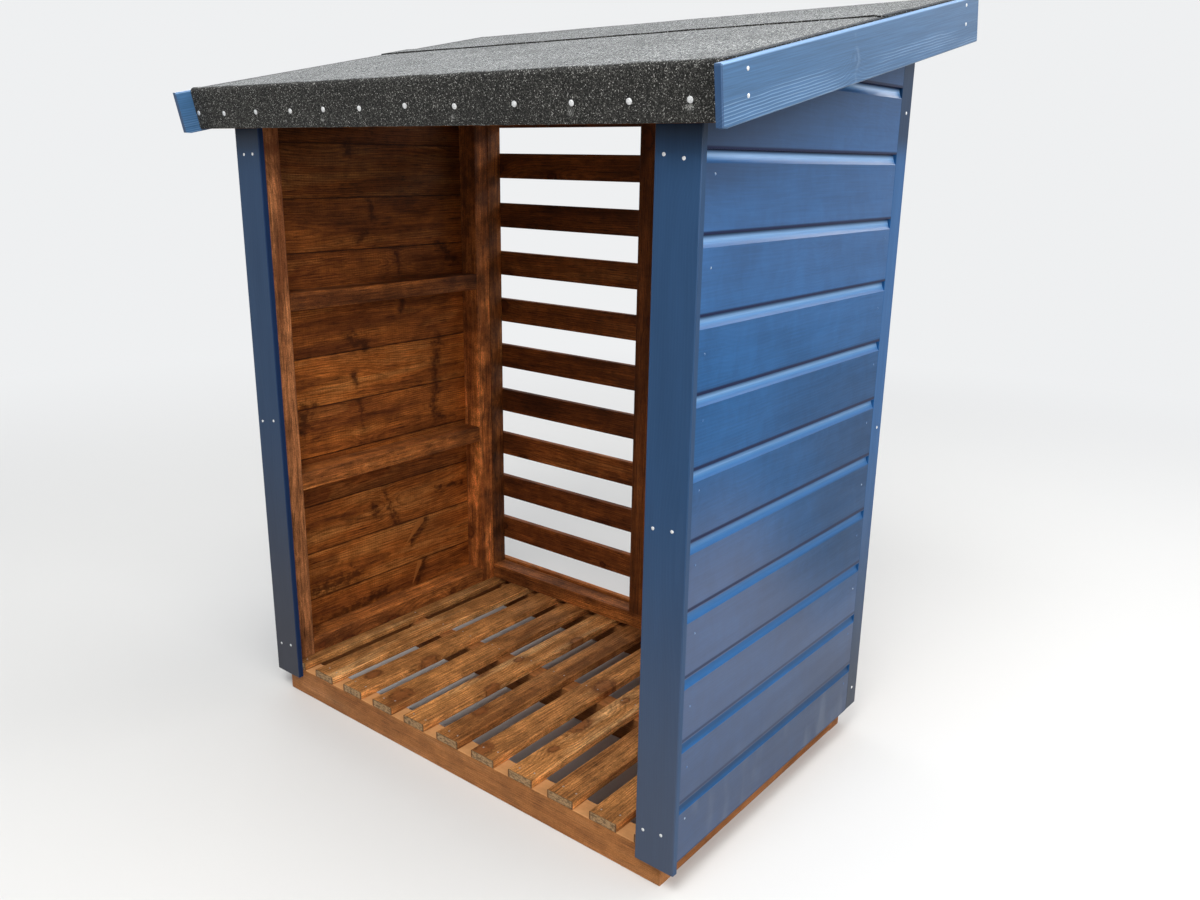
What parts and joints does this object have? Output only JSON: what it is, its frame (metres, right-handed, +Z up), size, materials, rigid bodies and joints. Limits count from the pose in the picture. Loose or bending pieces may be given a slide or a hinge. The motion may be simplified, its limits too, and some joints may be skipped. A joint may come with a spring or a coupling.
{
  "type": "log store",
  "caption": "Open-fronted garden log store with shiplap sides, a slatted floor and back, and a single-slope felted roof.",
  "frame": {"origin": "ground level, middle of the overall width and depth", "axes": "+X to the right when facing the open front, +Y to the back, +Z up"},
  "size_m": [1.234, 0.8556, 1.4522],
  "materials": {
    "blue_boards": "satin blue paint outside, brown stain inside",
    "blue_trim": "satin paint",
    "stained_frame": "brown stain",
    "stained_slats": "brown stain",
    "treated_bearers": "pressure treated",
    "roof_boards": "bare board",
    "mineral_felt": "mineral grit",
    "nail_heads": "galvanised"
  },
  "bodies": {
    "root": {"back_bearer": "treated_bearers", "back_bottom_rail": "stained_frame", "back_centre_stud": "stained_frame", "back_slats": "stained_slats", "back_top_rail": "stained_frame", "bargeboard_nails": "nail_heads", "corner_nails": "nail_heads", "felt_clout_nails": "nail_heads", "floor_slats": "stained_slats", "front_bearer": "treated_bearers", "front_fascia_board": "roof_boards", "front_header": "stained_frame", "left_back_stud": "stained_frame", "left_bargeboard": "blue_trim", "left_bottom_rail": "stained_frame", "left_corner_strip": "blue_trim", "left_front_stud": "stained_frame", "left_front_trim": "blue_trim", "left_lower_rail": "stained_frame", "left_rear_stud": "stained_frame", "left_roof_batten": "roof_boards", "left_shiplap_boards": "blue_boards", "left_side_bearer": "treated_bearers", "left_top_rail": "stained_frame", "left_upper_rail": "stained_frame", "lower_felt_sheet": "mineral_felt", "middle_bearer": "treated_bearers", "middle_rafter": "stained_frame", "rear_fascia_board": "roof_boards", "right_back_stud": "stained_frame", "right_bargeboard": "blue_trim", "right_bottom_rail": "stained_frame", "right_corner_strip": "blue_trim", "right_front_stud": "stained_frame", "right_front_trim": "blue_trim", "right_lower_rail": "stained_frame", "right_rear_stud": "stained_frame", "right_roof_batten": "roof_boards", "right_shiplap_boards": "blue_boards", "right_side_bearer": "treated_bearers", "right_top_rail": "stained_frame", "right_upper_rail": "stained_frame", "roof_deck": "roof_boards", "upper_felt_sheet": "mineral_felt"}
  },
  "joints": []
}
